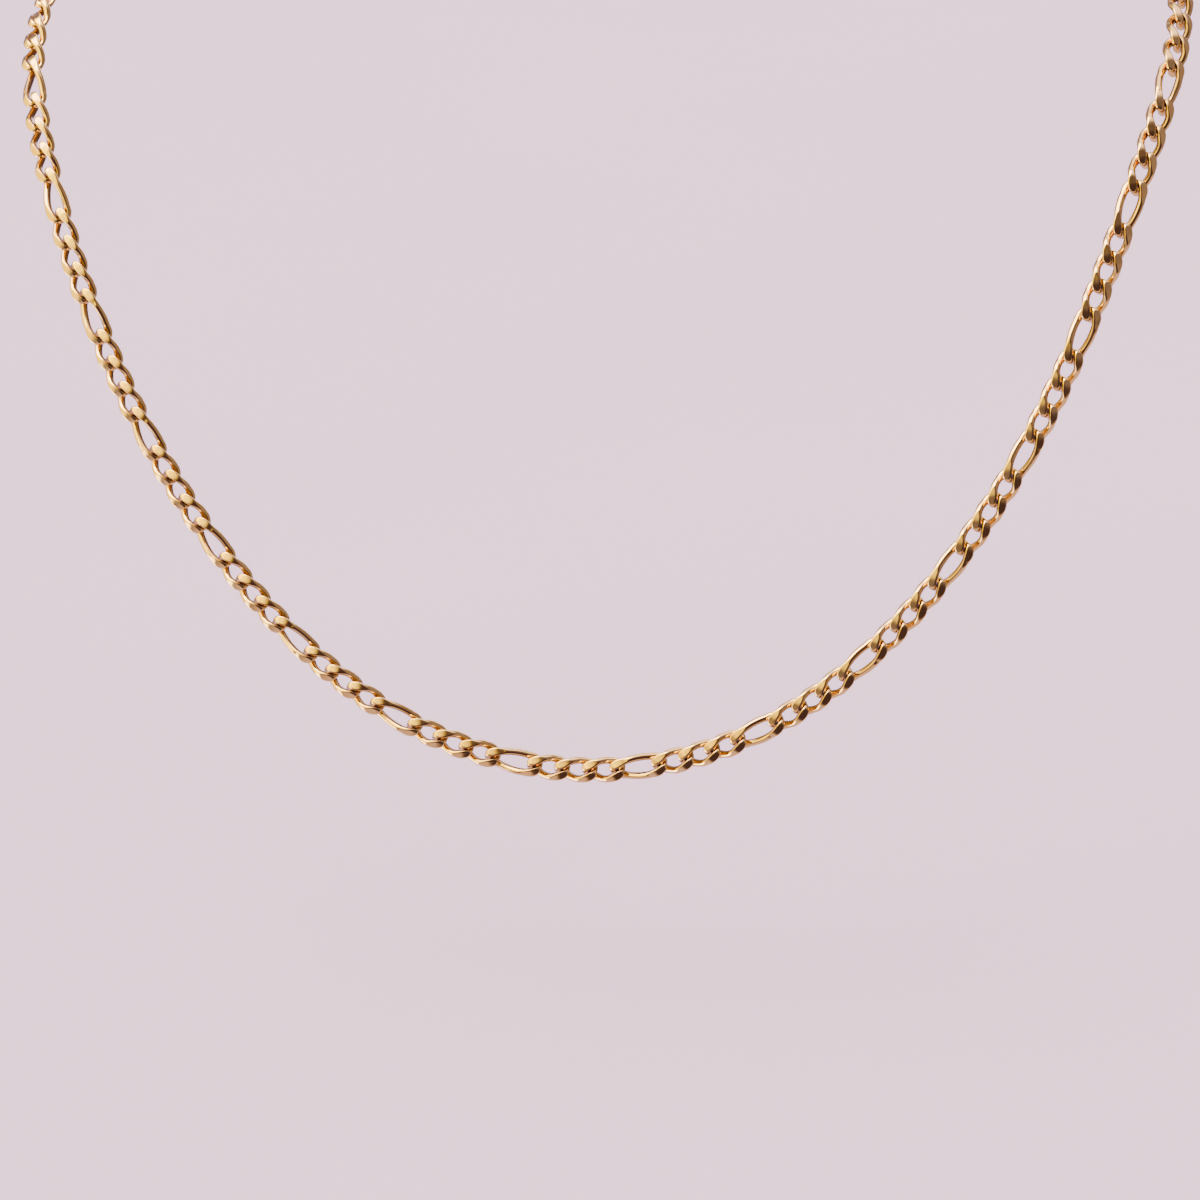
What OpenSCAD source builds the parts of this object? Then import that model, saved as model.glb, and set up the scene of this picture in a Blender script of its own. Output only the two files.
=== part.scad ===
// Figaro chain necklace, kept in the shape that it has when worn.
// Millimetres. +Z is up, -Y is the front of the loop, the origin is the nape.
// Each link is a loose solid that threads its neighbours without touching them.

/* [Chain] */
// Repeats of one long link and a run of small ones on each side of the middle link
side_repeats = 14; // [8:1:20]
// Small links between two long ones
small_run = 3; // [1:2:5]
// Width across a link
chain_w = 3.1; // [2:0.1:6]
// Thickness of the wire
wire_d = 0.86; // [0.4:0.02:1.4]
// Thickness over the filed flats
filed_t = 1.8; // [0.8:0.02:2.6]
// How far the loop is slid round from a centred pattern
slide = -1.2; // [-4:0.1:4]

/* [Links] */
// Outside length of a small link
small_l = 5.24; // [3:0.02:9]
// Outside length of a long link
long_l = 7.04; // [4:0.02:14]
// Gap left between two wires where they hook
play = 0.16; // [0.1:0.02:0.4]
// Turn of each link end about the long axis
twist = 56; // [40:1:60]
// Radius of the four bends of a link, along the middle of its wire
corner_r = 0.88; // [0.5:0.02:1.1]
// Share of its depth that a twisted link keeps when it is rolled
pressed = 0.86; // [0.7:0.02:1]

/* [Fastening] */
// Outside diameter of a jump ring
ring_d = 4.4; // [3:0.1:7]
// Wire of a jump ring
ring_wire = 0.8; // [0.5:0.05:1.4]
// Width over the bow of the clasp
clasp_w = 5.2; // [4:0.1:9]
// Thickness of the clasp bow
clasp_wire = 1.4; // [0.9:0.1:2.4]
// Outside diameter of the clasp eye
eye_d = 3.2; // [2:0.1:5]
// Wire of the clasp eye
eye_wire = 0.8; // [0.5:0.05:1.4]
// Length of the straight clasp arms
arm_l = 4.48; // [2:0.02:9]
// Place of the thumb tab along the arm
tab_at = 0.62; // [0.3:0.02:0.8]
// Height of the thumb tab over the arm
tab_h = 0.7; // [0.3:0.1:1.5]
// Thickness of the thumb tab
tab_d = 0.9; // [0.5:0.1:1.4]
// Turn of the jump rings about the run of the chain
ring_turn = 70; // [40:1:90]

/* [Hidden] */
// Points that draw the worn loop from the front middle to the nape, and the way
// that the flat face looks there: x, y, z, turn from the front, tilt upward.
ROUTE = [
    [0, -93, -97.5, 0, 12],
    [24.5, -93.5, -89.5, 2, 12],
    [43, -89, -72, 5, 12],
    [56, -83, -50.5, 9, 14],
    [64, -76, -27.5, 16, 20],
    [71, -59, -10, 42, 36],
    [64.5, -35.5, -2, 85, 46],
    [47, -16.5, 0, 125, 42],
    [25, -4, 0, 155, 34],
    [0, 2, 0, 180, 30]
];
route_steps = 14;
small_rings = 12;
long_rings = 14;
wire_sides = 5;
small_rush = 1.3;
long_rush = 0.6;
look_ahead = 0.002;
ring_fn = 28;
wire_fn = 16;
gold = [0.86, 0.63, 0.32];

// Pitches that follow from the link sizes
small_in = small_l - 2 * wire_d;
long_in = long_l - 2 * wire_d;
small_pitch = small_in - play;
mixed_pitch = (small_in + long_in) / 2 - play;
repeat_l = (small_run - 1) * small_pitch + 2 * mixed_pitch;
small_reach = small_pitch / 2;
long_reach = mixed_pitch - small_reach;

// Distances from the middle of the loop to the last small link, the ring and the clasp
last_small = side_repeats * repeat_l + (small_run - 1) / 2 * small_pitch;
ring_reach = ring_d / 2 - ring_wire - play / 2;
ring_s = last_small + small_reach + ring_reach;
bow_r = (clasp_w - clasp_wire) / 2;
eye_r = (eye_d - eye_wire) / 2;
bow_reach = bow_r - clasp_wire / 2 - play / 2;
eye_reach = eye_r - eye_wire / 2 - play / 2;
eye_x = arm_l + eye_d / 2;
clasp_span = bow_reach + eye_x + eye_reach;
half_len = ring_s + ring_reach + clasp_span / 2;

// The route rows with one mirrored row before the front and one after the nape
last_row = len(ROUTE) - 1;
function mirrored(r, whole) = [-r[0], r[1], r[2], whole - r[3], r[4]];
rows = concat([mirrored(ROUTE[1], 0)], ROUTE, [mirrored(ROUTE[last_row - 1], 360)]);

function blend(i, u) =
    (pow(1 - u, 3) * rows[i]
    + (3 * pow(u, 3) - 6 * pow(u, 2) + 4) * rows[i + 1]
    + (-3 * pow(u, 3) + 3 * pow(u, 2) + 3 * u + 1) * rows[i + 2]
    + pow(u, 3) * rows[i + 3]) / 6;

path = [
    for (i = [0 : last_row - 1])
        for (k = [0 : route_steps - 1])
            blend(i, k / route_steps),
    blend(last_row - 1, 1)
];
path_end = len(path) - 1;

function xyz(r) = [r[0], r[1], r[2]];
gaps = [for (i = [1 : path_end]) norm(xyz(path[i]) - xyz(path[i - 1]))];
along = [for (i = 0, s = 0; i <= path_end; s = s + (i < path_end ? gaps[i] : 0), i = i + 1) s];
route_scale = half_len / along[path_end];
x_at = [for (i = [0 : path_end]) [along[i] * route_scale, path[i][0] * route_scale]];
y_at = [for (i = [0 : path_end]) [along[i] * route_scale, path[i][1] * route_scale]];
z_at = [for (i = [0 : path_end]) [along[i] * route_scale, path[i][2] * route_scale]];
turn_at = [for (i = [0 : path_end]) [along[i] * route_scale, path[i][3]]];
tilt_at = [for (i = [0 : path_end]) [along[i] * route_scale, path[i][4]]];

// Position s runs from the front middle, negative on the left, past the nape at half_len
function wrapped(s) = s > half_len ? s - 2 * half_len : s < -half_len ? s + 2 * half_len : s;
function spot(s) =
    let (w = wrapped(s), a = abs(w), side = w < 0 ? -1 : 1)
    [side * lookup(a, x_at), lookup(a, y_at), lookup(a, z_at)];
function face(s) =
    let (w = wrapped(s), a = abs(w), side = w < 0 ? -1 : 1)
    let (turn = lookup(a, turn_at), tilt = lookup(a, tilt_at))
    [side * sin(turn) * cos(tilt), -cos(turn) * cos(tilt), sin(tilt)];
function unit(v) = v / norm(v);

// Stands its children on the loop at s, ends resting on the loop, flat face outward
module on_loop(s, back, ahead) {
    from = spot(s + slide - back);
    to = spot(s + slide + ahead);
    run = unit(to - from);
    raw = face(s + slide);
    out = unit(raw - (raw * run) * run);
    across = cross(out, run);
    at = from + run * norm(to - from) * back / (back + ahead);
    multmatrix([
        [run[0], across[0], out[0], at[0]],
        [run[1], across[1], out[1], at[1]],
        [run[2], across[2], out[2], at[2]],
        [0, 0, 0, 1]
    ])
        children();
}

// A round-cornered outline, the way going round it once from 0 to 1
function oval(half_l, half_w, way) =
    let (quarter = (floor(way * 4) + 4) % 4, share = way * 4 - floor(way * 4))
    let (side = half_w - corner_r, bend = corner_r * PI / 2)
    let (whole = side + bend + half_l - corner_r)
    let (run = quarter % 2 == 0 ? share * whole : (1 - share) * whole)
    let (around = min(max(run - side, 0), bend) / corner_r * 180 / PI)
    let (x = half_l - corner_r + corner_r * cos(around) - max(run - side - bend, 0))
    let (y = min(run, side) + corner_r * sin(around))
    [quarter == 0 || quarter == 3 ? x : -x, quarter < 2 ? y : -y];

// Middle line of the wire: the outline, turned more toward its ends and rolled thinner.
// The rush says how soon toward the ends the turn comes.
function tanh(v) = (exp(2 * v) - 1) / (exp(2 * v) + 1);
function link_line(l, rush, way) =
    let (half_l = (l - wire_d) / 2)
    let (p = oval(half_l, (chain_w - wire_d) / 2, way))
    let (turn = -twist * tanh(rush * p[0] / half_l) / tanh(rush))
    [p[0], p[1] * cos(turn), pressed * p[1] * sin(turn)];
function filed(p) = [p[0], p[1], max(-filed_t / 2, min(filed_t / 2, p[2]))];
function link_ring(l, rush, way) =
    let (mid = link_line(l, rush, way))
    let (run = unit(link_line(l, rush, way + look_ahead) - link_line(l, rush, way - look_ahead)))
    let (side = unit(cross(run, [0, 0, 1])), top = cross(side, run))
    [for (k = [0 : wire_sides - 1])
        let (q = 360 * k / wire_sides)
        filed(mid + wire_d / 2 * (side * cos(q) + top * sin(q)))];

// One filed link: rings of points round the oval, skinned with triangles
module link(l, rush, rings) {
    points = [for (i = [0 : rings - 1]) each link_ring(l, rush, i / rings)];
    faces = [
        for (i = [0 : rings - 1])
            for (k = [0 : wire_sides - 1])
                let (j = (i + 1) % rings, m = (k + 1) % wire_sides)
                let (a = i * wire_sides + k, b = j * wire_sides + k)
                let (c = j * wire_sides + m, d = i * wire_sides + m)
                each [[a, c, b], [a, d, c]]
    ];
    polyhedron(points, faces);
}

module small_link(s) {
    on_loop(s, small_reach, small_reach)
        link(small_l, small_rush, small_rings);
}

module long_link(s) {
    on_loop(s, long_reach, long_reach)
        link(long_l, long_rush, long_rings);
}

// One side of the chain from the middle out: half a run of small links, then each
// long link with its run of small ones
module side_links(side) {
    for (k = [1 : 1 : (small_run - 1) / 2])
        small_link(side * k * small_pitch);
    for (r = [0 : side_repeats - 1]) {
        middle = repeat_l / 2 + r * repeat_l;
        long_link(side * middle);
        for (k = [0 : small_run - 1])
            small_link(side * (middle + mixed_pitch + k * small_pitch));
    }
}

module torus(r, wire, part = 360) {
    rotate_extrude(angle = part, $fn = ring_fn)
        translate([r, 0])
            circle(d = wire, $fn = wire_fn);
}

module chain_left() {
    color(gold)
        side_links(-1);
}

module chain_right() {
    color(gold) {
        small_link(0);
        side_links(1);
    }
}

// Each ring stands across the end of its last small link and across the clasp
module jump_ring_left() {
    color(gold)
        on_loop(-ring_s, ring_reach, ring_reach)
            rotate([-ring_turn, 0, 0])
                torus((ring_d - ring_wire) / 2, ring_wire);
}

module jump_ring_right() {
    color(gold)
        on_loop(ring_s, ring_reach, ring_reach)
            rotate([ring_turn, 0, 0])
                torus((ring_d - ring_wire) / 2, ring_wire);
}

// Lobster clasp laid along X: a bow, two arms that close on a knuckle, a tab and an eye
module clasp_body() {
    bow_x = bow_reach - clasp_span / 2;
    knuckle_x = bow_x + arm_l;
    arm_end = clasp_wire / 4;
    arm_angle = atan2(bow_r - arm_end, arm_l);
    translate([bow_x, 0, 0])
        rotate([0, 0, 90])
            torus(bow_r, clasp_wire, 180);
    for (side = [-1, 1])
        translate([bow_x, side * bow_r, 0])
            rotate([0, 90, -side * arm_angle])
                cylinder(h = arm_l / cos(arm_angle), d = clasp_wire, $fn = wire_fn);
    translate([knuckle_x, 0, 0])
        sphere(d = clasp_wire + 2 * arm_end, $fn = wire_fn);
    translate([bow_x + arm_l * tab_at, bow_r - (bow_r - arm_end) * tab_at, 0])
        rotate([-90, 0, 0])
            cylinder(h = clasp_wire / 2 + tab_h, d = tab_d, $fn = wire_fn);
    translate([bow_x + eye_x, 0, 0])
        torus(eye_r, eye_wire);
}

module clasp() {
    color(gold)
        on_loop(half_len, clasp_span / 2, clasp_span / 2)
            clasp_body();
}

chain_left();
chain_right();
jump_ring_left();
jump_ring_right();
clasp();
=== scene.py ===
import math

import bmesh
import bpy
from mathutils import Matrix, Vector


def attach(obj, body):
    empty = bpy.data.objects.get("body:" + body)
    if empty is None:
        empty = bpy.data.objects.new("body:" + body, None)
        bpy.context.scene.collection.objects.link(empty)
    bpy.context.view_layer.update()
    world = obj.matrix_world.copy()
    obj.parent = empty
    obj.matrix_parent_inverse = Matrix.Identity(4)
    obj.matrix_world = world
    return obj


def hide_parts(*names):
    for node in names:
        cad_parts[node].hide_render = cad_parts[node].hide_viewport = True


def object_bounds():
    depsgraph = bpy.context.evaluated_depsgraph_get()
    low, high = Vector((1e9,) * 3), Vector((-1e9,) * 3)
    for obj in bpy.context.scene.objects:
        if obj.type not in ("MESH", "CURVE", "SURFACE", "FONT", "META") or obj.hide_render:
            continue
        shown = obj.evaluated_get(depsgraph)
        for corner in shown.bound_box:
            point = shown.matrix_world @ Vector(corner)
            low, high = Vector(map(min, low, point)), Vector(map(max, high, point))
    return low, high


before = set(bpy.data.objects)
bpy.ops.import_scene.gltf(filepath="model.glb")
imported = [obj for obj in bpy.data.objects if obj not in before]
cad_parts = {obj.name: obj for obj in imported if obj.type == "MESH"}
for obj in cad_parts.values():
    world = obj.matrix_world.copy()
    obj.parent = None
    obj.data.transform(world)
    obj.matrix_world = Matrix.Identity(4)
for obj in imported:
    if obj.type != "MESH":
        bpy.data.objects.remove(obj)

cad_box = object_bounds()
MM = 0.001

# The links.
# Each is an oval of round gold wire, soldered shut and twisted about its long axis so that
# it hooks its neighbours. Both faces of the finished chain are filed flat and polished.
CHAIN_W = 3.1 * MM
WIRE_D = 0.86 * MM
SMALL_L = 5.24 * MM
LONG_L = 7.04 * MM
SMALL_PITCH = 3.36 * MM
MIXED_PITCH = 4.26 * MM
BAND_W = 1.04 * MM
CORNER_R = 0.88 * MM
TWIST = math.radians(56)
SMALL_RUSH = 1.3
LONG_RUSH = 0.6
PRESSED = 0.86
HOOK_ACROSS = 0.68 * MM
FLAT_RUN = math.radians(26)
FLAT_LEAN = math.radians(16)
CROWN_H = 0.90 * MM
CROWN_IN = 1.2 * MM
CROWN_R = 3.2 * MM
TAIL_L = 1.0 * MM
TAIL_R = 1.2 * MM
EASED = 0.03 * MM
LINK_RINGS = 72
WIRE_SIDES = 22
SIDES_GATHERED = 0.2
WIDE_ACROSS = (0.25, 0.7)
WIDE_FROM_END = (1.7 * MM, 0.9 * MM)
# Where the inner bends and inner sides get a duller gloss and painted shade
RUB_SHADE_FROM_END = (1.1 * MM, 0.3 * MM)
RUB_SHADE_AT_BEND = (0.4, 0.9)
RUB_SHADE_INSIDE = (0.5, 0.95)
RUB_SHADE_SHARE = 0.8


def smooth(low, high, value):
    """Rises softly from 0 to 1 while the value goes from low to high."""
    share = min(1.0, max(0.0, (value - low) / (high - low)))
    return share * share * (3 - 2 * share)


def oval(half_l, half_w, way):
    """A point of a round-cornered outline, the way going round it once from 0 to 1."""
    quarter = math.floor(way * 4) % 4
    share = way * 4 % 1
    side = half_w - CORNER_R
    bend = CORNER_R * math.pi / 2
    run = (share if quarter % 2 == 0 else 1 - share) * (side + bend + half_l - CORNER_R)
    around = min(max(run - side, 0), bend) / CORNER_R
    x = half_l - CORNER_R + CORNER_R * math.cos(around) - max(run - side - bend, 0)
    y = min(run, side) + CORNER_R * math.sin(around)
    return (x if quarter in (0, 3) else -x), (y if quarter in (0, 1) else -y)


def wire_middle(outside, rush, way):
    """A point of the wire's middle line, its distance from the link's end, and how far across."""
    half_l, half_w = (outside - WIRE_D) / 2, (CHAIN_W - WIRE_D) / 2
    x, y = oval(half_l, half_w, way)
    turn = -TWIST * math.tanh(rush * x / half_l) / math.tanh(rush)
    middle = Vector((x, y * math.cos(turn), PRESSED * y * math.sin(turn)))
    return middle, half_l - abs(x), abs(y) / half_w


def filed(point, outside):
    """The point after filing, and whether a flat took it: a flat is a low crown, leaning out."""
    end = 1 if point.x > 0 else -1
    side = 1 if point.z > 0 else -1
    strand = -end * side
    from_crown = Vector((point.x - end * (outside / 2 - CROWN_IN), point.y - strand * HOOK_ACROSS))
    to_tip = from_crown.dot(Vector((end * math.cos(FLAT_RUN), -strand * math.sin(FLAT_RUN))))
    out = from_crown.dot(Vector((end * math.sin(FLAT_RUN), strand * math.cos(FLAT_RUN))))
    past_tail = max(0.0, -to_tip - TAIL_L)
    face = (CROWN_H - math.tan(FLAT_LEAN) * out - to_tip ** 2 / (2 * CROWN_R)
            + past_tail ** 2 / TAIL_R)
    over = (abs(point.z) - face) / EASED
    share = min(1.0, max(0.0, 0.5 + over / 2))
    height = abs(point.z) + (face - abs(point.z)) * share - EASED * share * (1 - share)
    return Vector((point.x, point.y, side * height)), 1.0 if over > 1.0 else 0.0


def filed_link(name, outside, rush):
    """A whole link as a closed mesh, with its flats marked, and its rubbed insides marked for a
    duller gloss and painted shade.
    """
    mesh = bmesh.new()
    flat = mesh.verts.layers.float.new("flat")
    rubbed_and_shaded = mesh.verts.layers.float.new("rubbed_and_shaded")
    loops = []
    for ring in range(LINK_RINGS):
        middle, from_end, spread = wire_middle(outside, rush, ring / LINK_RINGS)
        ahead = wire_middle(outside, rush, (ring + 0.1) / LINK_RINGS)[0]
        behind = wire_middle(outside, rush, (ring - 0.1) / LINK_RINGS)[0]
        along = (ahead - behind).normalized()
        outward = along.cross(Vector((0, 0, 1))).normalized()
        upright = outward.cross(along)
        swell = smooth(*WIDE_ACROSS, spread) * smooth(*WIDE_FROM_END, from_end)
        wide = WIRE_D + (BAND_W - WIRE_D) * swell
        loop = []
        for k in range(WIRE_SIDES):
            about = 2 * math.pi * k / WIRE_SIDES
            about += SIDES_GATHERED * math.sin(2 * about)
            drawn = (middle + outward * wide / 2 * math.cos(about)
                     + upright * WIRE_D / 2 * math.sin(about))
            surface, taken = filed(drawn, outside)
            v = mesh.verts.new(surface)
            inward = -math.cos(about)
            v[flat] = taken
            # Inner bends and inner sides are marked for a duller gloss and for painted shade
            v[rubbed_and_shaded] = (1 - taken) * max(
                smooth(*RUB_SHADE_FROM_END, from_end) * smooth(*RUB_SHADE_AT_BEND, inward),
                RUB_SHADE_SHARE * smooth(*RUB_SHADE_INSIDE, inward))
            loop.append(v)
        loops.append(loop)
    for a, b in zip(loops, loops[1:] + loops[:1]):
        for k in range(WIRE_SIDES):
            m = (k + 1) % WIRE_SIDES
            mesh.faces.new((a[k], b[k], b[m], a[m])).smooth = True
    bmesh.ops.recalc_face_normals(mesh, faces=mesh.faces)
    data = bpy.data.meshes.new(name)
    mesh.to_mesh(data)
    mesh.free()
    return bpy.data.objects.new(name, data)


small_link = filed_link("small_link", SMALL_L, SMALL_RUSH)
long_link = filed_link("long_link", LONG_L, LONG_RUSH)

# The gold.
# Yellow gold, drawn or cast, then polished: the round wire is mirror bright, the filed
# flats are buffed a little softer, the bends that rub inside each other stay dull, and the inner
# bends and inner sides are darkened with painted shade.
GOLD = (0.82, 0.55, 0.115)
GOLD_PALE = (0.86, 0.61, 0.155)
# Painted shade for the inner bends and inner sides: a near black gold
GOLD_PAINTED_SHADE = (0.11, 0.042, 0.020)
PATCHES_PER_M = 420.0
PALE_FROM = 0.35
PALE_FULL = 0.70
SMEARS_PER_M = 1500.0
SMEARS_DULL = 0.06
RUBBING_DULLS = 0.25
WAVES_PER_M = 900.0
WAVE_SHARE = 0.5
WAVE_H = 0.05 * MM
HAIRLINES_PER_M = 14000.0
HAIRLINE_SHARE = 0.12
HAIRLINE_H = 0.004 * MM
WIRE_ROUGH = 0.04
FLAT_ROUGH = 0.08


def node(tree, kind, **settings):
    made = tree.nodes.new(kind)
    for key, value in settings.items():
        setattr(made, key, value)
    return made


def polished_gold(name, wire_rough, flat_rough):
    """Gold with its gloss on the wire and on the flats, which a mesh marks as "flat"."""
    gold = bpy.data.materials.new(name)
    gold.use_nodes = True
    tree = gold.node_tree
    link = tree.links.new
    shader = tree.nodes["Principled BSDF"]
    shader.inputs["Metallic"].default_value = 1.0
    where = node(tree, "ShaderNodeTexCoord")
    flat = node(tree, "ShaderNodeAttribute", attribute_name="flat")
    rubbed_and_shaded = node(tree, "ShaderNodeAttribute", attribute_name="rubbed_and_shaded")

    # Colour: patches a shade paler, and the inner bends and inner sides darkened with painted shade
    patches = node(tree, "ShaderNodeTexNoise")
    patches.inputs["Scale"].default_value = PATCHES_PER_M
    patches.inputs["Detail"].default_value = 3.0
    link(where.outputs["Object"], patches.inputs["Vector"])
    paler = node(tree, "ShaderNodeMix", data_type="RGBA")
    paler.inputs["A"].default_value = (*GOLD, 1.0)
    paler.inputs["B"].default_value = (*GOLD_PALE, 1.0)
    spread = node(tree, "ShaderNodeMapRange")
    spread.inputs["From Min"].default_value = PALE_FROM
    spread.inputs["From Max"].default_value = PALE_FULL
    link(patches.outputs["Fac"], spread.inputs["Value"])
    link(spread.outputs["Result"], paler.inputs["Factor"])
    shade_mix = node(tree, "ShaderNodeMix", data_type="RGBA")
    shade_mix.inputs["B"].default_value = (*GOLD_PAINTED_SHADE, 1.0)
    link(paler.outputs["Result"], shade_mix.inputs["A"])
    link(rubbed_and_shaded.outputs["Fac"], shade_mix.inputs["Factor"])
    link(shade_mix.outputs["Result"], shader.inputs["Base Color"])

    # Gloss: the flats and the rubbed bends are softer, with faint smears
    smears = node(tree, "ShaderNodeTexNoise")
    smears.inputs["Scale"].default_value = SMEARS_PER_M
    smears.inputs["Detail"].default_value = 4.0
    link(where.outputs["Object"], smears.inputs["Vector"])
    gloss = node(tree, "ShaderNodeMapRange")
    gloss.inputs["To Min"].default_value = wire_rough
    gloss.inputs["To Max"].default_value = flat_rough
    link(flat.outputs["Fac"], gloss.inputs["Value"])
    smeared = node(tree, "ShaderNodeMath", operation="MULTIPLY_ADD")
    smeared.inputs[1].default_value = SMEARS_DULL
    link(smears.outputs["Fac"], smeared.inputs[0])
    link(gloss.outputs["Result"], smeared.inputs[2])
    worn = node(tree, "ShaderNodeMath", operation="MULTIPLY_ADD", use_clamp=True)
    worn.inputs[1].default_value = RUBBING_DULLS
    link(rubbed_and_shaded.outputs["Fac"], worn.inputs[0])
    link(smeared.outputs["Value"], worn.inputs[2])
    link(worn.outputs["Value"], shader.inputs["Roughness"])

    # Relief: slow buffing waves under fine hairlines
    waves = node(tree, "ShaderNodeTexNoise")
    waves.inputs["Scale"].default_value = WAVES_PER_M
    waves.inputs["Detail"].default_value = 1.0
    link(where.outputs["Object"], waves.inputs["Vector"])
    hairs = node(tree, "ShaderNodeTexNoise")
    hairs.inputs["Scale"].default_value = HAIRLINES_PER_M
    hairs.inputs["Detail"].default_value = 2.0
    link(where.outputs["Object"], hairs.inputs["Vector"])
    low = node(tree, "ShaderNodeBump")
    low.inputs["Strength"].default_value = WAVE_SHARE
    low.inputs["Distance"].default_value = WAVE_H
    link(waves.outputs["Fac"], low.inputs["Height"])
    fine = node(tree, "ShaderNodeBump")
    fine.inputs["Strength"].default_value = HAIRLINE_SHARE
    fine.inputs["Distance"].default_value = HAIRLINE_H
    link(hairs.outputs["Fac"], fine.inputs["Height"])
    link(low.outputs["Normal"], fine.inputs["Normal"])
    link(fine.outputs["Normal"], shader.inputs["Normal"])
    return gold


# The chain.
# 28 long links and 87 small ones hook through each other along one closed line, three small
# between two long. A row of the line is a place in mm, and how the flats turn and tilt there.
ROUTE = (
    (0, -93, -97.5, 0, 12),
    (24.5, -93.5, -89.5, 2, 12),
    (43, -89, -72, 5, 12),
    (56, -83, -50.5, 9, 14),
    (64, -76, -27.5, 16, 20),
    (71, -59, -10, 42, 36),
    (64.5, -35.5, -2, 85, 46),
    (47, -16.5, 0, 125, 42),
    (25, -4, 0, 155, 34),
    (0, 2, 0, 180, 30),
)
ROUTE_STEPS = 14
LOOP_L = 450 * MM
SLIDE = -1.2 * MM
SIDE_REPEATS = 14
REPEAT_L = 2 * SMALL_PITCH + 2 * MIXED_PITCH
SWAY = math.radians(1.5)


def mirrored(row, whole):
    """The route's row on the other side of the loop."""
    return (-row[0], row[1], row[2], whole - row[3], row[4])


def blended(rows, i, u):
    """A row between two of the route's, on a soft curve past four of them."""
    shares = ((1 - u) ** 3, 3 * u ** 3 - 6 * u ** 2 + 4,
              -3 * u ** 3 + 3 * u ** 2 + 3 * u + 1, u ** 3)
    return [sum(s * rows[i + k][n] for k, s in enumerate(shares)) / 6 for n in range(5)]


def whole_loop():
    """All rows once round, from the front middle over the right side and back."""
    rows = [mirrored(ROUTE[1], 0), *ROUTE, mirrored(ROUTE[-2], 360)]
    spans = len(ROUTE) - 1
    right_half = [blended(rows, i, k / ROUTE_STEPS)
                  for i in range(spans) for k in range(ROUTE_STEPS)]
    right_half.append(blended(rows, spans - 1, 1))
    return right_half + [mirrored(row, 0) for row in right_half[-2::-1]]


rows = whole_loop()
length = sum((Vector(a[:3]) - Vector(b[:3])).length for a, b in zip(rows, rows[1:]))
scale = LOOP_L / length
loop_mesh = bpy.data.meshes.new("chain_line")
loop_mesh.from_pydata([[scale * c for c in row[:3]] for row in rows],
                      [(i, i + 1) for i in range(len(rows) - 1)], [])
outward = loop_mesh.attributes.new("outward", "FLOAT_VECTOR", "POINT")
for mark, row in zip(outward.data, rows):
    turn, tilt = math.radians(row[3]), math.radians(row[4])
    mark.vector = (math.sin(turn) * math.cos(tilt), -math.cos(turn) * math.cos(tilt),
                   math.sin(tilt))
line_points = [(v.co.copy(), mark.vector.copy())
               for v, mark in zip(loop_mesh.vertices, outward.data)]
chain_line = bpy.data.objects.new("chain_line", loop_mesh)


def link_places(side):
    """Distances from the front middle of each link on one side, and whether it is long."""
    found = [(side * SMALL_PITCH, False)]
    if side > 0:
        found.insert(0, (0.0, False))
    for r in range(SIDE_REPEATS):
        middle = REPEAT_L / 2 + r * REPEAT_L
        found.append((side * middle, True))
        found += [(side * (middle + MIXED_PITCH + k * SMALL_PITCH), False) for k in range(3)]
    return found


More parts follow.
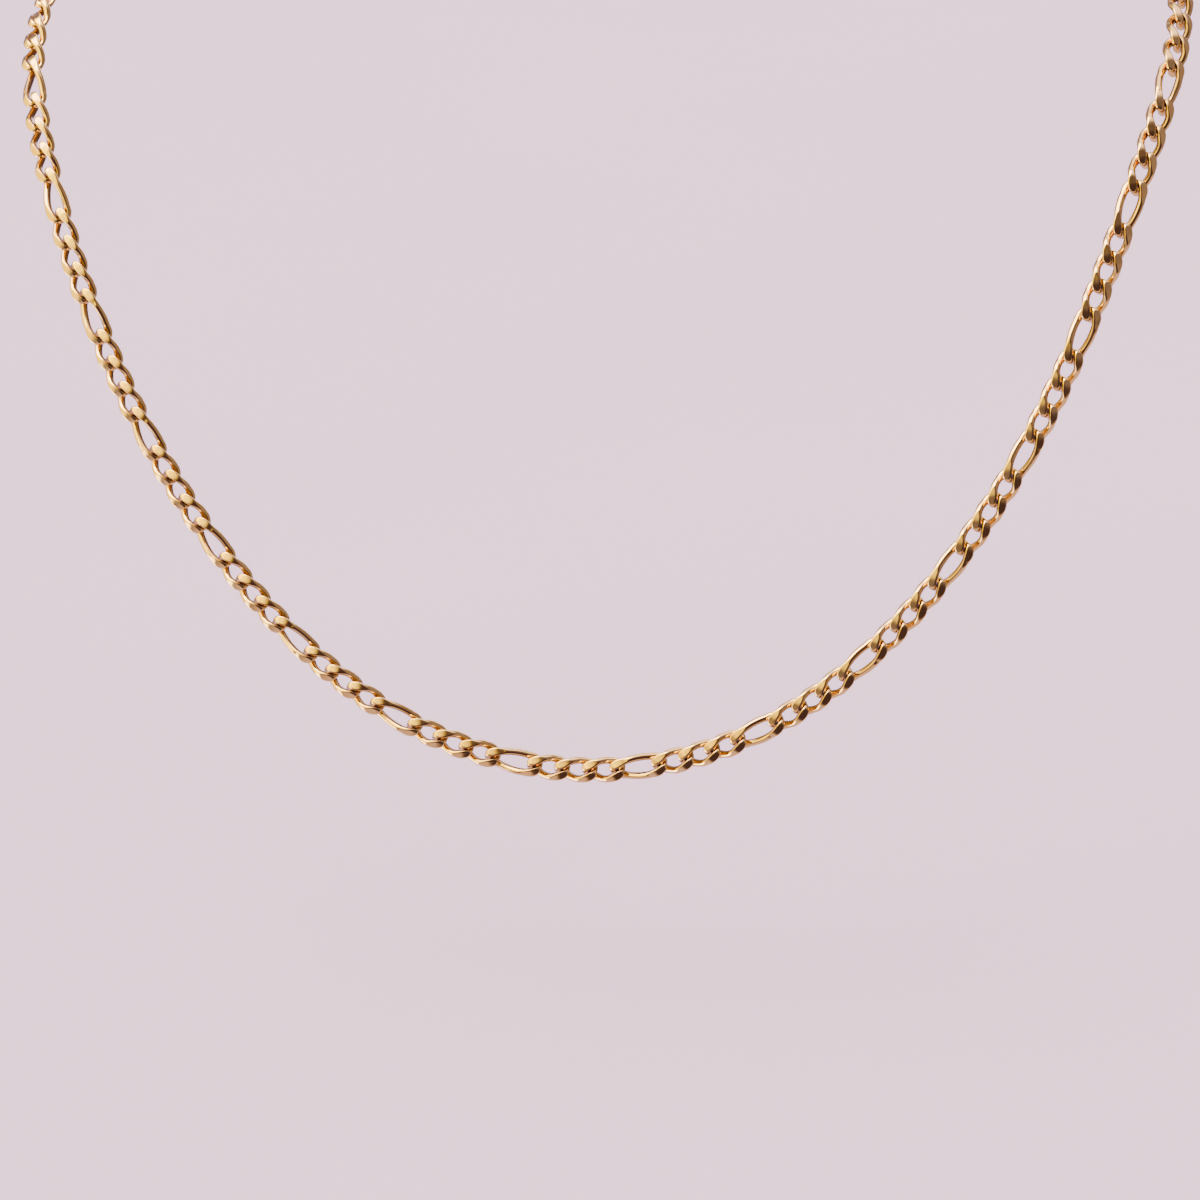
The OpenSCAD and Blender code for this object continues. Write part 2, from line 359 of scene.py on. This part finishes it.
def chain_tree():
    """Stands a link on the loop at each place, its ends on the line, its flats outward."""
    tree = bpy.data.node_groups.new("links_on_loop", "GeometryNodeTree")
    for name, kind in (("Places", "NodeSocketGeometry"), ("Loop", "NodeSocketObject"),
                       ("Small link", "NodeSocketObject"), ("Long link", "NodeSocketObject"),
                       ("Small reach", "NodeSocketFloat"), ("Long reach", "NodeSocketFloat"),
                       ("Slide", "NodeSocketFloat"), ("Loop length", "NodeSocketFloat"),
                       ("Sway", "NodeSocketFloat"), ("Seed", "NodeSocketInt"),
                       ("Gold", "NodeSocketMaterial")):
        tree.interface.new_socket(name, in_out="INPUT", socket_type=kind)
    tree.interface.new_socket("Links", in_out="OUTPUT", socket_type="NodeSocketGeometry")
    link = tree.links.new
    given = node(tree, "NodeGroupInput").outputs
    made = node(tree, "NodeGroupOutput")

    line = node(tree, "GeometryNodeObjectInfo")
    link(given["Loop"], line.inputs["Object"])
    curve = node(tree, "GeometryNodeMeshToCurve")
    link(line.outputs["Geometry"], curve.inputs["Mesh"])
    place = node(tree, "GeometryNodeInputNamedAttribute", data_type="FLOAT")
    place.inputs["Name"].default_value = "place"
    is_long = node(tree, "GeometryNodeInputNamedAttribute", data_type="BOOLEAN")
    is_long.inputs["Name"].default_value = "is_long"
    out = node(tree, "GeometryNodeInputNamedAttribute", data_type="FLOAT_VECTOR")
    out.inputs["Name"].default_value = "outward"
    reach = node(tree, "GeometryNodeSwitch", input_type="FLOAT")
    link(is_long.outputs["Attribute"], reach.inputs["Switch"])
    link(given["Small reach"], reach.inputs["False"])
    link(given["Long reach"], reach.inputs["True"])
    slid = node(tree, "ShaderNodeMath", operation="ADD")
    link(place.outputs["Attribute"], slid.inputs[0])
    link(given["Slide"], slid.inputs[1])

    def on_line(offset):
        at = slid
        if offset:
            at = node(tree, "ShaderNodeMath", operation=offset)
            link(slid.outputs[0], at.inputs[0])
            link(reach.outputs[0], at.inputs[1])
        wrap = node(tree, "ShaderNodeMath", operation="FLOORED_MODULO")
        link(at.outputs[0], wrap.inputs[0])
        link(given["Loop length"], wrap.inputs[1])
        probe = node(tree, "GeometryNodeSampleCurve", mode="LENGTH", data_type="FLOAT_VECTOR")
        link(curve.outputs["Curve"], probe.inputs["Curves"])
        link(out.outputs["Attribute"], probe.inputs["Value"])
        link(wrap.outputs[0], probe.inputs["Length"])
        return probe

    back, ahead, mid = on_line("SUBTRACT"), on_line("ADD"), on_line(None)
    run = node(tree, "ShaderNodeVectorMath", operation="SUBTRACT")
    link(ahead.outputs["Position"], run.inputs[0])
    link(back.outputs["Position"], run.inputs[1])
    centre = node(tree, "ShaderNodeMix", data_type="VECTOR")
    centre.inputs["Factor"].default_value = 0.5
    link(back.outputs["Position"], centre.inputs["A"])
    link(ahead.outputs["Position"], centre.inputs["B"])
    aligned = node(tree, "FunctionNodeAxesToRotation", primary_axis="X", secondary_axis="Z")
    link(run.outputs["Vector"], aligned.inputs["Primary Axis"])
    link(mid.outputs["Value"], aligned.inputs["Secondary Axis"])
    moved = node(tree, "GeometryNodeSetPosition")
    link(given["Places"], moved.inputs["Geometry"])
    link(centre.outputs["Result"], moved.inputs["Position"])

    both = node(tree, "GeometryNodeJoinGeometry")
    short = node(tree, "FunctionNodeBooleanMath", operation="NOT")
    link(is_long.outputs["Attribute"], short.inputs[0])
    for socket, chosen in (("Small link", short.outputs[0]),
                           ("Long link", is_long.outputs["Attribute"])):
        form = node(tree, "GeometryNodeObjectInfo")
        link(given[socket], form.inputs["Object"])
        put = node(tree, "GeometryNodeInstanceOnPoints")
        link(moved.outputs["Geometry"], put.inputs["Points"])
        link(chosen, put.inputs["Selection"])
        link(form.outputs["Geometry"], put.inputs["Instance"])
        link(aligned.outputs["Rotation"], put.inputs["Rotation"])
        link(put.outputs["Instances"], both.inputs["Geometry"])

    # Each link settles a degree or two off square about its long axis
    sway = node(tree, "FunctionNodeRandomValue", data_type="FLOAT")
    lower = node(tree, "ShaderNodeMath", operation="MULTIPLY")
    lower.inputs[1].default_value = -1.0
    link(given["Sway"], lower.inputs[0])
    floats = [s for s in sway.inputs if s.type == "VALUE"]
    link(lower.outputs[0], floats[0])
    link(given["Sway"], floats[1])
    link(given["Seed"], sway.inputs["Seed"])
    about_x = node(tree, "ShaderNodeCombineXYZ")
    link([s for s in sway.outputs if s.type == "VALUE"][0], about_x.inputs["X"])
    swayed = node(tree, "GeometryNodeRotateInstances")
    link(both.outputs["Geometry"], swayed.inputs["Instances"])
    link(about_x.outputs["Vector"], swayed.inputs["Rotation"])
    solid = node(tree, "GeometryNodeRealizeInstances")
    link(swayed.outputs["Instances"], solid.inputs["Geometry"])
    gilt = node(tree, "GeometryNodeSetMaterial")
    link(solid.outputs["Geometry"], gilt.inputs["Geometry"])
    link(given["Gold"], gilt.inputs["Material"])
    link(gilt.outputs["Geometry"], made.inputs["Links"])
    return tree


link_gold = polished_gold("link_gold", WIRE_ROUGH, FLAT_ROUGH)
links_on_loop = chain_tree()
for side, name, replaced, seed in ((-1, "gold_links_left", "chain_left", 3),
                                   (1, "gold_links_right", "chain_right", 8)):
    places = link_places(side)
    points = bpy.data.meshes.new(name + "_places")
    points.from_pydata([(distance, 0, 0) for distance, _ in places], [], [])
    points.attributes.new("place", "FLOAT", "POINT").data.foreach_set(
        "value", [distance for distance, _ in places])
    points.attributes.new("is_long", "BOOLEAN", "POINT").data.foreach_set(
        "value", [is_long for _, is_long in places])
    stand_in = bpy.data.objects.new(name + "_places", points)
    bpy.context.scene.collection.objects.link(stand_in)
    for helper in (small_link, long_link, chain_line):
        if helper.name not in bpy.context.scene.collection.objects:
            bpy.context.scene.collection.objects.link(helper)
    maker = stand_in.modifiers.new("links", "NODES")
    maker.node_group = links_on_loop
    sizes = {"Loop": chain_line, "Small link": small_link, "Long link": long_link,
             "Small reach": SMALL_PITCH / 2, "Long reach": MIXED_PITCH - SMALL_PITCH / 2,
             "Slide": SLIDE, "Loop length": LOOP_L, "Sway": SWAY, "Seed": seed,
             "Gold": link_gold}
    for item in links_on_loop.interface.items_tree:
        if item.item_type == "SOCKET" and item.in_out == "INPUT" and item.name in sizes:
            maker[item.identifier] = sizes[item.name]
    shown = stand_in.evaluated_get(bpy.context.evaluated_depsgraph_get())
    baked = bpy.data.meshes.new_from_object(shown)
    piece = bpy.data.objects.new(name, baked)
    bpy.context.scene.collection.objects.link(piece)
    stand_in.modifiers.remove(maker)
    bpy.data.objects.remove(stand_in)
    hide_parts(replaced)
    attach(piece, "root")
for helper in (small_link, long_link, chain_line):
    bpy.data.objects.remove(helper)

# The jump rings.
# Two round rings of gold wire, soldered shut: each joins the last small link of its side to
# the clasp and stands nearly square to both. They are polished a little softer than the links.
RING_D = 4.4 * MM
RING_WIRE = 0.8 * MM
RING_TURN = math.radians(70)
RING_STEPS = 96
RING_SIDES = 28
FITTING_ROUGH = 0.07
PLAY = 0.16 * MM
LAST_LINK = SIDE_REPEATS * REPEAT_L + SMALL_PITCH
RING_REACH = RING_D / 2 - RING_WIRE - PLAY / 2
RING_PLACE = LAST_LINK + SMALL_PITCH / 2 + RING_REACH
clasp_gold = polished_gold("clasp_gold", FITTING_ROUGH, FITTING_ROUGH)


def spot(distance):
    """The place on the line at a distance, and the way that the flats look there."""
    left = (distance + SLIDE) % LOOP_L
    for here, ahead in zip(line_points, line_points[1:]):
        gap = (ahead[0] - here[0]).length
        if left <= gap:
            break
        left -= gap
    share = min(1.0, left / gap)
    return here[0].lerp(ahead[0], share), here[1].lerp(ahead[1], share)


def stand(place, reach):
    """Stands a fitting on the loop: both ends on the line, its own Z axis outward."""
    start, end, out = spot(place - reach)[0], spot(place + reach)[0], spot(place)[1]
    run = (end - start).normalized()
    out = (out - run * out.dot(run)).normalized()
    placed = Matrix((run, out.cross(run), out)).transposed().to_4x4()
    placed.translation = (start + end) / 2
    return placed


def sweep(shape, path, wire):
    """Adds a round wire along a closed flat path to a mesh under construction."""
    loops = []
    for i, point in enumerate(path):
        way = (path[(i + 1) % len(path)] - path[i - 1]).normalized()
        aside = Vector((way.y, -way.x, 0))
        loop = []
        for k in range(RING_SIDES):
            about = math.tau * k / RING_SIDES
            rim = aside * math.cos(about) + Vector((0, 0, math.sin(about)))
            loop.append(shape.verts.new(point + wire / 2 * rim))
        loops.append(loop)
    for one, two in zip(loops, loops[1:] + loops[:1]):
        for k in range(RING_SIDES):
            m = (k + 1) % RING_SIDES
            shape.faces.new((one[k], two[k], two[m], one[m]))


def round_path(centre, radius):
    """Points of a circle in the plane, its centre on the X axis."""
    turns = [math.tau * k / RING_STEPS for k in range(RING_STEPS)]
    return [Vector((centre + radius * math.cos(a), radius * math.sin(a), 0)) for a in turns]


def fitting(name, shape, placed, replaced):
    """Turns a shape into a finished piece of the necklace at its place."""
    bmesh.ops.recalc_face_normals(shape, faces=shape.faces)
    for face in shape.faces:
        face.smooth = True
    shape.transform(placed)
    mesh = bpy.data.meshes.new(name)
    shape.to_mesh(mesh)
    shape.free()
    mesh.materials.append(clasp_gold)
    piece = bpy.data.objects.new(name, mesh)
    bpy.context.scene.collection.objects.link(piece)
    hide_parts(replaced)
    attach(piece, "root")


for side, name, replaced in ((-1, "gold_ring_left", "jump_ring_left"),
                             (1, "gold_ring_right", "jump_ring_right")):
    ring = bmesh.new()
    sweep(ring, round_path(0, (RING_D - RING_WIRE) / 2), RING_WIRE)
    turned = stand(side * RING_PLACE, RING_REACH) @ Matrix.Rotation(side * RING_TURN, 4, "X")
    fitting(name, ring, turned, replaced)

# The clasp.
# A lobster clasp of cast gold: a bow round the left ring, two arms that close on a knuckle, a
# thumb tab, and an eye round the right ring, run together in small fillets and polished.

# It is made in millimetres, which fusing needs, and scaled as it is put in place
CLASP_WIRE = 1.4
CLASP_PLAY = 0.08
BOW_R = 1.9
ARM_L = 4.48
ARM_END = 0.35
TAB_AT = 0.62
TAB_L = 0.7
TAB_D = 0.9
TAB_SIDES = 48
EYE_R = 1.2
EYE_WIRE = 0.8
BOW_STEPS = 24
ARM_STEPS = 12
FUSED_GRAIN = 0.06
FILLET_PASSES = 6
BOW_REACH = BOW_R - CLASP_WIRE / 2 - CLASP_PLAY
EYE_X = ARM_L + EYE_R + EYE_WIRE / 2
CLASP_SPAN = BOW_REACH + EYE_X + EYE_R - EYE_WIRE / 2 - CLASP_PLAY
bow_x = BOW_REACH - CLASP_SPAN / 2
bow_turns = [math.pi * (0.5 + k / BOW_STEPS) for k in range(1, BOW_STEPS)]
bow = [Vector((bow_x + BOW_R * math.cos(a), BOW_R * math.sin(a), 0)) for a in bow_turns]
arms = [[Vector((bow_x + ARM_L * k / ARM_STEPS,
                 side * (BOW_R + (ARM_END - BOW_R) * k / ARM_STEPS), 0))
         for k in range(ARM_STEPS + 1)] for side in (-1, 1)]
body = bmesh.new()
sweep(body, bow + arms[0] + arms[1][::-1], CLASP_WIRE)
sweep(body, round_path(bow_x + EYE_X, EYE_R), EYE_WIRE)
knuckle = Matrix.Translation((bow_x + ARM_L, 0, 0))
bmesh.ops.create_icosphere(body, subdivisions=4, radius=CLASP_WIRE / 2 + ARM_END, matrix=knuckle)
tab_long = CLASP_WIRE / 2 + TAB_L
tab_place = Matrix.Translation((bow_x + ARM_L * TAB_AT,
                                BOW_R + (ARM_END - BOW_R) * TAB_AT + tab_long / 2, 0))
bmesh.ops.create_cone(body, cap_ends=True, segments=TAB_SIDES, radius1=TAB_D / 2, radius2=TAB_D / 2,
                      depth=tab_long, matrix=tab_place @ Matrix.Rotation(math.pi / 2, 4, "X"))
bmesh.ops.recalc_face_normals(body, faces=body.faces)
cast_mesh = bpy.data.meshes.new("clasp_cast")
body.to_mesh(cast_mesh)
body.free()
cast = bpy.data.objects.new("clasp_cast", cast_mesh)
bpy.context.scene.collection.objects.link(cast)
fused = cast.modifiers.new("fused", "REMESH")
fused.mode = "VOXEL"
fused.voxel_size = FUSED_GRAIN
eased = cast.modifiers.new("eased", "SMOOTH")
eased.factor = 0.5
eased.iterations = FILLET_PASSES
shown = cast.evaluated_get(bpy.context.evaluated_depsgraph_get())
cast_body = bmesh.new()
cast_body.from_mesh(bpy.data.meshes.new_from_object(shown))
cast.modifiers.clear()
bpy.data.objects.remove(cast)
clasp_place = stand(LOOP_L / 2, CLASP_SPAN / 2 * MM) @ Matrix.Scale(MM, 4)
fitting("gold_clasp", cast_body, clasp_place, "clasp")

# The studio.
# A plain pale floor under soft even light. The polished metal mirrors a painted room that is
# dim in front and bright on the left, above and behind.
FLOOR_DROP = 30 * MM
FLOOR_HALF = 4.0
FLOOR_ROUGH = 0.9
FLOOR_GLOSS = 0.1
FLOOR_CLOUDS_PER_M = 9.0
FLOOR_TINTS = ((0.496, 0.374, 0.396), (0.528, 0.400, 0.424))
floor_z = cad_box[0][2] - FLOOR_DROP
floor_mesh = bpy.data.meshes.new("floor")
floor_mesh.from_pydata([(-FLOOR_HALF, -FLOOR_HALF, floor_z), (FLOOR_HALF, -FLOOR_HALF, floor_z),
                        (FLOOR_HALF, FLOOR_HALF, floor_z), (-FLOOR_HALF, FLOOR_HALF, floor_z)],
                       [], [(0, 1, 2, 3)])
floor = bpy.data.objects.new("floor", floor_mesh)
bpy.context.scene.collection.objects.link(floor)
paper = bpy.data.materials.new("pale_floor")
paper.use_nodes = True
paper_tree = paper.node_tree
paper_shader = paper_tree.nodes["Principled BSDF"]
paper_shader.inputs["Roughness"].default_value = FLOOR_ROUGH
paper_shader.inputs["Specular IOR Level"].default_value = FLOOR_GLOSS
paper_place = node(paper_tree, "ShaderNodeTexCoord")
cloudy = node(paper_tree, "ShaderNodeTexNoise")
cloudy.inputs["Scale"].default_value = FLOOR_CLOUDS_PER_M
cloudy.inputs["Detail"].default_value = 3.0
paper_tree.links.new(paper_place.outputs["Object"], cloudy.inputs["Vector"])
paper_tint = node(paper_tree, "ShaderNodeMix", data_type="RGBA")
paper_tint.inputs["A"].default_value = (*FLOOR_TINTS[0], 1)
paper_tint.inputs["B"].default_value = (*FLOOR_TINTS[1], 1)
paper_tree.links.new(cloudy.outputs["Fac"], paper_tint.inputs["Factor"])
paper_tree.links.new(paper_tint.outputs["Result"], paper_shader.inputs["Base Color"])
floor_mesh.materials.append(paper)
floor.visible_glossy = False

# A wide lamp overhead lights the floor and is not mirrored in the metal
LAMP_SIZE = 3.0
LAMP_POWER = 67
LAMP_AT = (0, 0.3, 2.0)
lamp = bpy.data.lights.new("overhead", "AREA")
lamp.size = LAMP_SIZE
lamp.energy = LAMP_POWER
overhead = bpy.data.objects.new("overhead", lamp)
overhead.location = LAMP_AT
overhead.visible_glossy = False
bpy.context.scene.collection.objects.link(overhead)

# The room that the metal mirrors is painted on the world, patch over patch
room = bpy.data.worlds.new("room")
bpy.context.scene.world = room
room.use_nodes = True
sky = room.node_tree
sky_place = node(sky, "ShaderNodeTexCoord")


def patch(around, azimuth, elevation, inner, outer, colour):
    """Paints a soft patch, at degrees right of the front and up, that fades between two radii."""
    az, el = math.radians(azimuth), math.radians(elevation)
    toward = node(sky, "ShaderNodeVectorMath", operation="DOT_PRODUCT")
    toward.inputs[1].default_value = (math.sin(az) * math.cos(el), -math.cos(az) * math.cos(el),
                                      math.sin(el))
    sky.links.new(sky_place.outputs["Generated"], toward.inputs[0])
    fade = node(sky, "ShaderNodeMapRange", interpolation_type="SMOOTHSTEP")
    fade.inputs["From Min"].default_value = math.cos(math.radians(outer))
    fade.inputs["From Max"].default_value = math.cos(math.radians(inner))
    sky.links.new(toward.outputs["Value"], fade.inputs["Value"])
    painted = node(sky, "ShaderNodeMix", data_type="RGBA")
    if isinstance(around, tuple):
        painted.inputs["A"].default_value = (*around, 1)
    else:
        sky.links.new(around.outputs["Result"], painted.inputs["A"])
    painted.inputs["B"].default_value = (*colour, 1)
    sky.links.new(fade.outputs["Result"], painted.inputs["Factor"])
    return painted


walls = (0.42, 0.315, 0.58)
for patch_at in ((0, 90, 24, 52, (3.2, 2.55, 4.3)),        # ceiling
                 (0, -90, 44, 72, (1.2, 0.80, 1.5)),       # floor
                 (178, 8, 10, 28, (3.2, 2.7, 4.0)),        # wall behind
                 (-84, 10, 22, 48, (3.2, 2.3, 0.5)),       # warm wall on the left
                 (-54, 42, 18, 46, (4.8, 3.6, 0.5)),       # warm light, left of the front
                 (-50, 68, 9, 22, (17.0, 14.5, 16.0)),     # bright light high over it
                 (-92, 46, 8, 22, (13.0, 10.5, 14.0)),     # bright light on the left
                 (-72, -30, 8, 20, (11.0, 9.0, 13.0)),     # bright light low on the left
                 (40, 34, 20, 40, (0.30, 0.225, 0.46)),    # shade, high right of the front
                 (-2, 25, 26, 42, (0.20, 0.14, 0.24)),     # shade, high in front
                 (-14, -3, 18, 31, (0.30, 0.225, 0.40)),   # shade, left of the front
                 (20, -8, 25, 40, (0.085, 0.050, 0.12))):  # darkest, right of the front
    walls = patch(walls, *patch_at)
sky.links.new(walls.outputs["Result"], sky.nodes["Background"].inputs["Color"])

# A warm softbox near the left side, its light fading to the edge; only the metal shows it
SOFTBOX_D = 0.44
SOFTBOX_POWER = 1.8
SOFTBOX_TINT = (1.0, 0.75, 0.12)
SOFTBOX_AT = (-0.178, -0.290, 0.095)
SOFTBOX_BACK = (-0.104, -0.284, 0.175)
SOFTBOX_DARK_AT = 0.5
SOFTBOX_FULL_TO = 0.1
near = bpy.data.lights.new("near_softbox", "AREA")
near.shape = "DISK"
near.size = SOFTBOX_D
near.energy = SOFTBOX_POWER
near.color = SOFTBOX_TINT
near_object = bpy.data.objects.new("near_softbox", near)
near_object.location = SOFTBOX_AT
near_object.rotation_euler = Vector(SOFTBOX_BACK).to_track_quat("Z", "Y").to_euler()
near_object.visible_camera = False
near_object.visible_diffuse = False
bpy.context.scene.collection.objects.link(near_object)
near.use_nodes = True
cloth = near.node_tree
across = node(cloth, "ShaderNodeNewGeometry")
off_middle = node(cloth, "ShaderNodeVectorMath", operation="DISTANCE")
off_middle.inputs[1].default_value = (0.5, 0.5, 0.0)
cloth.links.new(across.outputs["Parametric"], off_middle.inputs[0])
edge = node(cloth, "ShaderNodeMapRange", interpolation_type="SMOOTHSTEP")
edge.inputs["From Min"].default_value = SOFTBOX_DARK_AT
edge.inputs["From Max"].default_value = SOFTBOX_FULL_TO
cloth.links.new(off_middle.outputs["Value"], edge.inputs["Value"])
cloth.links.new(edge.outputs["Result"], cloth.nodes["Emission"].inputs["Strength"])

# The camera stands a little to the right of the front, above it, and rolled slightly
CAMERA_AZ = math.radians(9.32)
CAMERA_EL = math.radians(23.92)
CAMERA_ROLL = math.radians(-3.04)
CAMERA_AT = (55.5 * MM, -414.3 * MM, 71.9 * MM)
SENSOR_W = 36.0
FOCAL_L = 91.6
NEAREST_SEEN = 0.01
look = Vector((-math.sin(CAMERA_AZ) * math.cos(CAMERA_EL),
               math.cos(CAMERA_AZ) * math.cos(CAMERA_EL), -math.sin(CAMERA_EL)))
right = Vector((math.cos(CAMERA_AZ), math.sin(CAMERA_AZ), 0))
up = right.cross(look)
rolled_right = right * math.cos(CAMERA_ROLL) + up * math.sin(CAMERA_ROLL)
rolled_up = up * math.cos(CAMERA_ROLL) - right * math.sin(CAMERA_ROLL)
lens = bpy.data.cameras.new("camera")
lens.sensor_width = SENSOR_W
lens.lens = FOCAL_L
lens.clip_start = NEAREST_SEEN
camera = bpy.data.objects.new("camera", lens)
camera.matrix_world = Matrix((
    (rolled_right.x, rolled_up.x, -look.x, CAMERA_AT[0]),
    (rolled_right.y, rolled_up.y, -look.y, CAMERA_AT[1]),
    (rolled_right.z, rolled_up.z, -look.z, CAMERA_AT[2]),
    (0, 0, 0, 1)))
bpy.context.scene.collection.objects.link(camera)
bpy.context.scene.camera = camera
